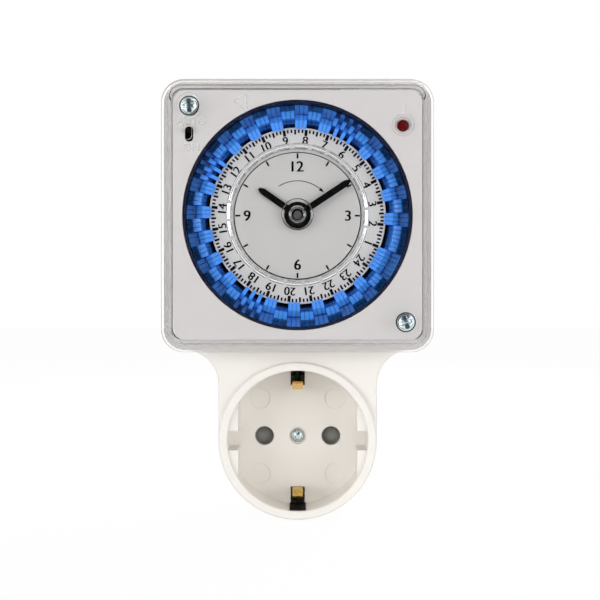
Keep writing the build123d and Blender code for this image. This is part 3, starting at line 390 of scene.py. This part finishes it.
brass = finish("bright_brass", plated, (0.86, 0.54, 0.14), smooth=0.16, rough=0.30, edge=0.12, metal=1.0)
red = finish("red_lamp", moulded, (0.10, 0.001, 0.002), drift=0.0, depth=0.0, smooth=0.16,
             rough=0.2, shine=0.08)
painted_shade_steel = finish("shaded_steel", plated, (0.05, 0.085, 0.11), smooth=0.3, rough=0.4, metal=0.6)
print("finishes:", len(bpy.data.materials))

# %% [markdown]
# ## Clear plastic
# The cover and the setting knob are clear acrylic. A glass-like shader bends what is seen through their
# edges, which draws the light and dark lines round the box. The cover bends rays less than solid acrylic
# would, because its thin walls then stay as light as they look on the real box. Lamps can't be sampled
# through such a shader, so shadow rays and rays from matt surfaces meet a plain see-through one in its place.

# %% Clear finish
def clear_finish(name, tint, roughness, bend):
    """A clear plastic that bends rays, seen plainly by shadow rays and rays from matt surfaces."""
    made = bpy.data.materials.new(name)
    made.use_nodes = True
    tree = made.node_tree
    shader = tree.nodes["Principled BSDF"]
    shader.inputs["Base Color"].default_value = (*tint, 1)
    shader.inputs["Roughness"].default_value = roughness
    shader.inputs["IOR"].default_value = bend
    shader.inputs["Transmission Weight"].default_value = 1.0
    through = add_node(tree, "BsdfTransparent")
    through.inputs["Color"].default_value = (*tint, 1)
    ray = add_node(tree, "LightPath")
    plain = combine(tree, "MAXIMUM", ray.outputs["Is Shadow Ray"], ray.outputs["Is Diffuse Ray"])
    blend = add_node(tree, "MixShader")
    link(tree, plain, blend.inputs[0])
    link(tree, shader.outputs[0], blend.inputs[1])
    link(tree, through.outputs[0], blend.inputs[2])
    link(tree, blend.outputs[0], tree.nodes["Material Output"].inputs["Surface"])
    return made


acrylic_tint, acrylic_roughness = (0.985, 0.985, 0.98), 0.015
clear = clear_finish("clear_acrylic", acrylic_tint, acrylic_roughness, bend=1.15)
clear_knob = clear_finish("clear_knob", acrylic_tint, acrylic_roughness, bend=1.35)


# %% Faint finish
def faint_finish(name, colour, opacity, roughness=0.4, metal=0.0):
    """A weak veil of a colour, for painted light and shade on the edges and marks of clear plastic."""
    made = bpy.data.materials.new(name)
    made.use_nodes = True
    shader = made.node_tree.nodes["Principled BSDF"]
    shader.inputs["Base Color"].default_value = (*colour, 1)
    shader.inputs["Roughness"].default_value = roughness
    shader.inputs["Metallic"].default_value = metal
    shader.inputs["Alpha"].default_value = opacity
    return made


near_white, warm_shade = (0.95, 0.95, 0.95), (0.25, 0.24, 0.23)
rim_shine = faint_finish("rim_shine", near_white, opacity=0.8, roughness=0.12, metal=1.0)
boss_shine = faint_finish("boss_shine", near_white, opacity=0.18, roughness=0.12, metal=1.0)
painted_edge_light = faint_finish("lit_edge", near_white, opacity=0.12)
painted_edge_shade = faint_finish("shaded_edge", warm_shade, opacity=0.16)
print("clear finishes:", clear.name, clear_knob.name, painted_edge_light.name, painted_edge_shade.name)

# %% [markdown]
# ## Finishes on the model's pieces
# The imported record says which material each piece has, so a table from those names to the finishes above
# covers nearly all of them, and a second one holds the few that differ from their neighbours.

# %% Assign the finishes
by_slot = {
    "cream_plastic": cream, "grey_plastic": grey, "clear_plastic": clear, "black_plastic": black,
    "pale_plastic": pale, "blue_plastic": blue, "natural_plastic": natural, "shutter_plastic": dark_grey,
    "steel": steel, "nickel": nickel, "brass": brass, "red_lamp": red, "board": laminate,
    "capacitor_case": amber, "brown_wire": brown, "blue_wire": wire_blue, "green_wire": wire_green,
}
by_node = {
    "program_dial": navy, "dial_surround": navy, "front_plate": black, "plate_screws": black,
    "setting_knob": clear_knob,
}
for part in frame["record"]["subparts"]:
    chosen = by_node.get(part["node"], by_slot[part["material_slot"]])
    for slot in nodes[part["node"]].material_slots:
        slot.material = chosen

# %% [markdown]
# ## Print on the dial and the clock face
# The ring carries six ticks for each hour and the numbers 1 to 24, which run against the clock because the
# dial turns under a fixed pointer. The face carries four numbers, short ticks and a thin arrow that shows
# which way the knob turns. Print is made as very thin raised shapes, so that it stays sharp from any side.

# %% Flat shapes on a front surface
print_thick = 0.03 * mm
text_to_front = Matrix(((1, 0, 0, 0), (0, 0, -1, 0), (0, 1, 0, 0), (0, 0, 0, 1)))


def dial_place(clockwise, radius, depth):
    """Where a flat shape goes that stands upright at a clockwise angle from the top of the dial."""
    turn = Matrix.Rotation(math.radians(clockwise), 4, "Y")
    return turn @ Matrix.Translation((0, -depth, radius)) @ text_to_front


def add_flat(mesh, points, thick, place):
    """A flat shape with a thickness, from its outline points to the right and up."""
    ends = [[mesh.verts.new(place @ Vector((x, y, z))) for x, y in points] for z in (0, thick)]
    mesh.faces.new(reversed(ends[0]))
    mesh.faces.new(ends[1])
    for i in range(len(points)):
        j = (i + 1) % len(points)
        mesh.faces.new((ends[0][i], ends[0][j], ends[1][j], ends[1][i]))


def add_bar(mesh, width, low, high, thick, place):
    """An upright bar between two heights."""
    half = width / 2
    add_flat(mesh, [(-half, low), (half, low), (half, high), (-half, high)], thick, place)


def add_ring(mesh, inner, outer, thick, place, steps=96):
    """A flat ring as four loops of points, each joined to the next."""
    turns = [2 * math.pi * i / steps for i in range(steps)]
    loops = []
    for radius, z in ((inner, 0), (outer, 0), (outer, thick), (inner, thick)):
        circle = [Vector((radius * math.cos(a), radius * math.sin(a), z)) for a in turns]
        loops.append([mesh.verts.new(place @ point) for point in circle])
    for i in range(len(loops)):
        first, second = loops[i], loops[(i + 1) % len(loops)]
        for j in range(steps):
            k = (j + 1) % steps
            mesh.faces.new((first[j], second[j], second[k], first[k]))


def piece(name, mesh, paint, body):
    """A finished piece from an edit mesh, riding on a body."""
    data = bpy.data.meshes.new(name)
    mesh.to_mesh(data)
    mesh.free()
    data.materials.append(paint)
    made = bpy.data.objects.new(name, data)
    scene.collection.objects.link(made)
    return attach(made, body)


# %% Lettering
letter_half = 0.5


def add_words(mesh, words, height, bold, thick, place):
    """Words as raised letters, centred on a place, made bolder by copies to the left and right."""
    curve = bpy.data.curves.new("words", "FONT")
    curve.body = words
    curve.extrude = letter_half
    carrier = bpy.data.objects.new("words", curve)
    scene.collection.objects.link(carrier)
    bpy.context.view_layer.update()
    shape = bpy.data.meshes.new_from_object(carrier.evaluated_get(bpy.context.evaluated_depsgraph_get()))
    xs = [v.co.x for v in shape.vertices]
    ys = [v.co.y for v in shape.vertices]
    size = height / (max(ys) - min(ys))
    centre = Vector(((max(xs) + min(xs)) / 2, (max(ys) + min(ys)) / 2, -letter_half))
    fit = Matrix.Diagonal((size, size, thick, 1)) @ Matrix.Translation(-centre)
    shape.transform(fit)
    for shift in sorted({-bold, 0, bold}):
        copy = shape.copy()
        copy.transform(place @ Matrix.Translation((shift, 0, 0)))
        mesh.from_mesh(copy)
        bpy.data.meshes.remove(copy)
    bpy.data.objects.remove(carrier)
    bpy.data.curves.remove(curve)
    bpy.data.meshes.remove(shape)


# %% Print on the 24-hour ring
pointer_angle, clock_time = 26.5, 10.157
scale_front = -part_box("scale_ring")[0].y
scale_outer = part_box("scale_ring")[1].x
hours, ticks_per_hour = 24, 6
hour_step = 360 / hours
tick_kinds = {0: (0.78 * mm, 1.60 * mm), 3: (0.52 * mm, 1.30 * mm)}
short_tick = (0.46 * mm, 0.90 * mm)
number_radius, number_height, number_bold = 20.05 * mm, 2.15 * mm, 0.085 * mm
tick_margin = 0.50 * mm


def hour_angle(hour):
    """The clockwise angle of an hour of the ring, with the time of day under the pointer."""
    return -pointer_angle - (hour - clock_time) * hour_step


ticks = bmesh.new()
for number in range(hours * ticks_per_hour):
    width, length = tick_kinds.get(number % ticks_per_hour, short_tick)
    high = scale_outer - tick_margin
    spot = dial_place(hour_angle(number / ticks_per_hour), 0, scale_front)
    add_bar(ticks, width, high - length, high, print_thick, spot)
piece("scale_ticks", ticks, ink, "dial")
numbers = bmesh.new()
for hour in range(1, hours + 1):
    spot = dial_place(hour_angle(hour), number_radius, scale_front)
    add_words(numbers, str(hour), number_height, number_bold, print_thick, spot)
piece("scale_numbers", numbers, ink, "dial")
print("ring print at depth in mm:", round(scale_front / mm, 2))

# %% Print on the clock face
face_front = -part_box("clock_face")[0].y
face_hours = 12
face_step = 360 / face_hours
face_numbers = {12: 13.0 * mm, 3: 13.3 * mm, 6: 12.9 * mm, 9: 13.3 * mm}
face_number_height, face_number_bold = 2.75 * mm, 0.10 * mm
tick_low, tick_high, tick_width = 15.1 * mm, 16.45 * mm, 0.48 * mm
arrow_radius, arrow_width = 9.2 * mm, 0.20 * mm
arrow_start, arrow_end, arrow_steps = -33, 40, 24
head_long, head_half = 1.45 * mm, 0.50 * mm

face_print = bmesh.new()
for hour in range(face_hours):
    spot = dial_place(hour * face_step, 0, face_front)
    add_bar(face_print, tick_width, tick_low, tick_high, print_thick, spot)
for number, radius in face_numbers.items():
    angle = math.radians(number * face_step)
    centre = (radius * math.sin(angle), -face_front, radius * math.cos(angle))
    spot = Matrix.Translation(centre) @ text_to_front
    add_words(face_print, str(number), face_number_height, face_number_bold, print_thick, spot)
arrow_step = (arrow_end - arrow_start) / arrow_steps
arc = [math.radians(arrow_start + arrow_step * i) for i in range(arrow_steps + 1)]
rims = [arrow_radius - arrow_width / 2, arrow_radius + arrow_width / 2]
inner, outer = [[(r * math.sin(a), r * math.cos(a)) for a in arc] for r in rims]
flat_front = Matrix.Translation((0, -face_front, 0)) @ text_to_front
add_flat(face_print, outer[::-1] + inner, print_thick, flat_front)
tip = dial_place(arrow_end, arrow_radius, face_front)
add_flat(face_print, [(head_long, 0), (0, head_half), (0, -head_half)][::-1], print_thick, tip)
piece("face_print", face_print, ink, "housing")
print("face print at depth in mm:", round(face_front / mm, 2))

# %% [markdown]
# ## Raised marks on the cover
# The mode words, the edge of the pointer and a ring over the lamp are part of the clear cover, moulded a
# fifth of a millimetre proud, so they show only by the light at one edge and the shade at the other. Each
# mark is made twice, as a painted highlight and a painted shade a little lower to the right, and both ride on
# the cover.

# %% Marks on the cover
cover_front = 70.0 * mm
word_rise, word_height = 0.15 * mm, 1.95 * mm
mode_words = {"AUTO": 23.9 * mm, "ON": 17.2 * mm}
mode_x = -27.5 * mm
pointer_inner, pointer_long, pointer_half = 29.3 * mm, 4.3 * mm, 1.78 * mm
mark_width = 0.22 * mm
shade_shift = 0.16 * mm
lamp_place, lamp_ring = (27.3 * mm, 23.4 * mm), 2.7 * mm
lamp_line = ((27.6 * mm, 26.2 * mm), (27.6 * mm, 28.6 * mm))
lamp_line_width = 0.16 * mm
lamp_ring_steps = 48


def add_stroke(mesh, start, end, width, thick, place):
    """A straight bar between two places of a front surface."""
    along = Vector(end) - Vector(start)
    turn = Matrix.Rotation(math.atan2(along.y, along.x) - math.pi / 2, 4, "Z")
    add_bar(mesh, width, 0, along.length, thick, place @ Matrix.Translation((*start, 0)) @ turn)


def cover_marks(name, paint, shift, rise):
    """The mode words, the pointer and the lamp's ring and line, moved a little to the right and down."""
    marks = bmesh.new()
    front = Matrix.Translation((shift, -cover_front, -shift)) @ text_to_front
    for word, z in mode_words.items():
        add_words(marks, word, word_height, 0.0, rise, front @ Matrix.Translation((mode_x, z, 0)))
    pointer = front @ Matrix.Rotation(math.radians(pointer_angle), 4, "Z")
    tip = (0, pointer_inner)
    wide = [(side * pointer_half, pointer_inner + pointer_long) for side in (-1, 1)]
    for start, end in ((tip, wide[0]), (wide[0], wide[1]), (wide[1], tip)):
        add_stroke(marks, start, end, mark_width, rise, pointer)
    add_stroke(marks, lamp_line[0], lamp_line[1], lamp_line_width, rise, front)
    spot = front @ Matrix.Translation((*lamp_place, 0))
    add_ring(marks, lamp_ring - lamp_line_width, lamp_ring, rise, spot, lamp_ring_steps)
    return piece(name, marks, paint, "cover")


cover_marks("mark_shade", painted_edge_shade, shade_shift, word_rise / 2)
cover_marks("mark_light", painted_edge_light, 0, word_rise)
print("raised marks:", list(mode_words), "and the pointer")

# %% [markdown]
# ## Shine on the setting knob
# The rim and the boss of the clear knob are rounded, so they mirror the white studio at the left and right
# and the dark above and below. Thin half-round beads of white mirror metal on the rim between the notches,
# and on the two edges of the boss, are a painted reflection of this, and they turn with the knob.

# %% Rim bead, a painted reflection
rim_middle, rim_half, rim_front = 18.0 * mm, 0.48 * mm, 65.72 * mm
boss_beads = {3.9 * mm: 0.18 * mm, 1.8 * mm: 0.34 * mm}
boss_front = 66.6 * mm
notch_count, notch_degrees, notch_turn = 24, 2.8, 10.3
notch_step = 360 / notch_count
bead_steps, bead_sides = 8, 8
boss_arc = 45
weld_gap = 0.001 * mm


def add_bead(mesh, start, end, radius, half, front):
    """A half-round bar along an arc round the middle, between two clockwise angles."""
    rows = []
    for step in range(bead_steps + 1):
        angle = start + (end - start) * step / bead_steps
        row = []
        for part in range(bead_sides + 1):
            a = math.pi * part / bead_sides
            spot = dial_place(angle, radius - half * math.cos(a), front)
            row.append(mesh.verts.new(spot @ Vector((0, 0, half * math.sin(a)))))
        rows.append(row)
    for first, second in zip(rows, rows[1:]):
        for part in range(bead_sides):
            corners = (first[part], second[part], second[part + 1], first[part + 1])
            mesh.faces.new(corners).smooth = True


rim = bmesh.new()
for number in range(notch_count):
    middle_angle = notch_turn + notch_step * (number + 0.5)
    reach = (notch_step - notch_degrees) / 2
    add_bead(rim, middle_angle - reach, middle_angle + reach, rim_middle, rim_half, rim_front)
piece("rim_painted_reflection", rim, rim_shine, "minute")
boss = bmesh.new()
for radius, half in boss_beads.items():
    for start in range(0, 360, boss_arc):
        add_bead(boss, start, start + boss_arc, radius, half, boss_front)
bmesh.ops.remove_doubles(boss, verts=boss.verts, dist=weld_gap)
piece("boss_painted_reflection", boss, boss_shine, "minute")
print("rim arcs between the notches:", notch_count)

# %% [markdown]
# ## Dark linings of painted shade
# The slot of the mode slider is lined black where it passes the panel, with a wall of a tenth of a
# millimetre that leaves the slider free. A black ring lies on the floor of the case under the edge of the
# dial, so that the gap round the segments looks into the dark. A black strip lies in the groove of the lower
# earth clip, on the wall of the socket. All three are painted shade, black where the real walls and floor
# are only in shade.

# %% Slot sleeve of painted shade
slot_place = (-28.4 * mm, 21.2 * mm)
slot_half_width, slot_half_height = 1.05 * mm, 1.95 * mm
sleeve_wall = 0.05 * mm
panel_back, sleeve_front = 61.4 * mm, 63.02 * mm
arc_steps = 12


def oblong(grow):
    """The outline of the slot, counter-clockwise, made larger all round."""
    radius = slot_half_width + grow
    straight = slot_half_height - slot_half_width
    points = []
    for step in range(2 * arc_steps):
        a = math.pi * step / arc_steps + math.pi / (2 * arc_steps)
        lift = straight if a < math.pi else -straight
        x, z = radius * math.cos(a), lift + radius * math.sin(a)
        points.append((slot_place[0] + x, slot_place[1] + z))
    return points


sleeve = bmesh.new()
loops = []
for grow, depth in ((sleeve_wall, panel_back), (sleeve_wall, sleeve_front),
                    (-sleeve_wall, sleeve_front), (-sleeve_wall, panel_back)):
    loops.append([sleeve.verts.new((x, -depth, z)) for x, z in oblong(grow)])
for i in range(len(loops)):
    first, second = loops[i], loops[(i + 1) % len(loops)]
    for j in range(len(first)):
        k = (j + 1) % len(first)
        sleeve.faces.new((first[j], first[k], second[k], second[j]))
# The sleeve is painted shade on the walls of the slot.
piece("slot_shade_sleeve", sleeve, black, "housing")
print("sleeve length in mm:", round((sleeve_front - panel_back) / mm, 2))

# %% Ring of painted shade on the case floor
case_floor = 43.0 * mm
dark_inner, dark_outer, dark_thick = 27.7 * mm, 33.2 * mm, 0.05 * mm
painted_shade_ring = bmesh.new()
spot = Matrix.Translation((0, -case_floor, 0)) @ text_to_front
add_ring(painted_shade_ring, dark_inner, dark_outer, dark_thick, spot)
piece("painted_shade_ring", painted_shade_ring, black, "housing")
print("dark ring at depth in mm:", round(case_floor / mm, 2))

# %% Strip of painted shade in the groove of the lower clip
socket_middle, socket_radius, socket_floor, collar_front = -61.0 * mm, 19.3 * mm, 25.0 * mm, 42.5 * mm
strip_half, strip_thick, strip_set, strip_rise = 2.25 * mm, 0.1 * mm, 0.8 * mm, 0.2 * mm
strip_low = socket_middle - socket_radius + strip_rise
strip_front = collar_front - strip_set
strip = bmesh.new()
flat = [(-strip_half, socket_floor), (strip_half, socket_floor),
        (strip_half, strip_front), (-strip_half, strip_front)]
lie_flat = Matrix(((1, 0, 0, 0), (0, -1, 0, 0), (0, 0, 1, strip_low), (0, 0, 0, 1)))
add_flat(strip, flat[::-1], strip_thick, lie_flat)
piece("earth_slot_painted_shade", strip, black, "housing")
print("strip length in mm:", round((strip_front - socket_floor) / mm, 2))

# %% [markdown]
# ## Cross-headed screws
# A screw head is a low dome with a cross pressed into it. The dome mirrors the white sides of the studio and
# the dark above and below it, which is what makes it read as metal. Each head is a set of rings whose height
# follows the dome less the recess, and it stands for the plain screw of the model. The cover's screws and
# washers cast no shadow, because a lamp at the side would draw it long and hard across the panel.
# Dark plates in the upper and lower arms of the cover screws' crosses are painted shade.

# %% Screw heads
head_rings, head_spokes, rod_sides = 30, 120, 32
dome_share, cross_depth_share = 0.92, 0.36
arm_end_share, arm_fade_share = 0.80, 0.30
arm_half_share, arm_wall_share = 0.28, 0.12
shade_lift_share, shade_thick_share = 0.62, 0.1
shade_shares = [(-0.10, 0.14), (0.10, 0.14), (0.25, 0.66), (0.12, 0.76), (-0.12, 0.76), (-0.25, 0.66)]


def smooth_step(value):
    """A value held between 0 and 1, with an easy start and end."""
    held = min(max(value, 0), 1)
    return held * held * (3 - 2 * held)


def head_height(x, y, radius, rise):
    """The height of the head at a place: a dome less two crossed arms that get deeper to the middle."""
    share = (x * x + y * y) / (radius * radius)
    dome = rise * math.sqrt(max(1 - dome_share * share, 0))
    deepest = 0
    for along, across in ((abs(x), abs(y)), (abs(y), abs(x))):
        arm = smooth_step((arm_end_share * radius - along) / (arm_fade_share * radius))
        wall = smooth_step((arm_half_share * radius - across) / (arm_wall_share * radius))
        deepest = max(deepest, arm * wall)
    return dome - deepest * cross_depth_share * radius


def add_head(mesh, place, radius, rise, turn):
    """A screw head in rings from the middle out, with a last ring straight down to its seat."""
    spun = place @ Matrix.Rotation(math.radians(turn), 4, "Z")
    middle_point = mesh.verts.new(spun @ Vector((0, 0, head_height(0, 0, radius, rise))))
    before = None
    for ring in range(1, head_rings + 2):
        r = radius * min(ring / head_rings, 1)
        row = []
        for spoke in range(head_spokes):
            a = 2 * math.pi * spoke / head_spokes
            x, y = r * math.cos(a), r * math.sin(a)
            z = head_height(x, y, radius, rise) if ring <= head_rings else 0
            row.append(mesh.verts.new(spun @ Vector((x, y, z))))
        for i in range(head_spokes):
            j = (i + 1) % head_spokes
            corners = (before[i], row[i], row[j], before[j]) if before else (middle_point, row[i], row[j])
            mesh.faces.new(corners).smooth = True
        before = row


def add_shade(mesh, place, radius, rise, turn):
    """Painted shade on the floors of the upper and the lower arm of the cross, which the side light never
    reaches.
    """
    lift = Matrix.Translation((0, 0, shade_lift_share * rise))
    spun = place @ Matrix.Rotation(math.radians(turn), 4, "Z") @ lift
    for size in (-radius, radius):
        add_flat(mesh, [(x * size, y * size) for x, y in shade_shares], shade_thick_share * rise, spun)


def add_rod(mesh, place, radius, back, front):
    """A round rod along the depth of a front surface."""
    turns = [2 * math.pi * i / rod_sides for i in range(rod_sides)]
    points = [(radius * math.cos(a), radius * math.sin(a)) for a in turns]
    add_flat(mesh, points, front - back, place @ Matrix.Translation((0, 0, back)))


# %% Screws of the cover
shank_radius, shank_gap = 1.4 * mm, 0.01 * mm
seat_rise, cover_seat, washer_radius = 0.15 * mm, 68.1 * mm, 2.6 * mm
cover_shank = 14.0 * mm
cover_screw_places = [(-28.0 * mm, 28.0 * mm), (28.0 * mm, -28.0 * mm)]
cover_head, cover_head_rise = 2.28 * mm, 1.1 * mm
head_turns = [4, 18]
heads, washers, shades = bmesh.new(), bmesh.new(), bmesh.new()
for number, (x, z) in enumerate(cover_screw_places):
    spot = Matrix.Translation((x, -cover_seat, z)) @ text_to_front
    add_rod(washers, spot, washer_radius, 0, seat_rise)
    seat = spot @ Matrix.Translation((0, 0, seat_rise))
    add_head(heads, seat, cover_head, cover_head_rise, head_turns[number])
    add_shade(shades, seat, cover_head, cover_head_rise, head_turns[number])
    add_rod(heads, spot, shank_radius, -cover_shank, -shank_gap)
screws = piece("cover_screw_heads", heads, zinc, "cover")
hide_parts("cover_screws")
washer = piece("cover_screw_washers", washers, black, "cover")
shade = piece("cover_screw_shades", shades, painted_shade_steel, "cover")
for shadeless in (screws, washer, shade):
    shadeless.visible_shadow = False
print("cover screws:", len(cover_screw_places))

# %% Screw of the socket
socket_seat, socket_shank = 23.4 * mm, 12.0 * mm
socket_head, socket_head_rise, socket_head_turn = 1.85 * mm, 1.2 * mm, -14
heads = bmesh.new()
spot = Matrix.Translation((0, -socket_seat, socket_middle)) @ text_to_front
add_head(heads, spot, socket_head, socket_head_rise, socket_head_turn)
add_rod(heads, spot, shank_radius, -socket_shank, -shank_gap)
screw = piece("socket_screw_head", heads, zinc, "housing")
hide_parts("socket_screw")
print("socket screw at depth in mm:", round(socket_seat / mm, 2))

# %% [markdown]
# ## Size and finish
# The box of the dressed object is written next to the box of the model, so any growth from the added
# pieces shows.

# %% Boxes
low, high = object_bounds()
print("box in mm:", [round(x / mm, 1) for x in high - low])
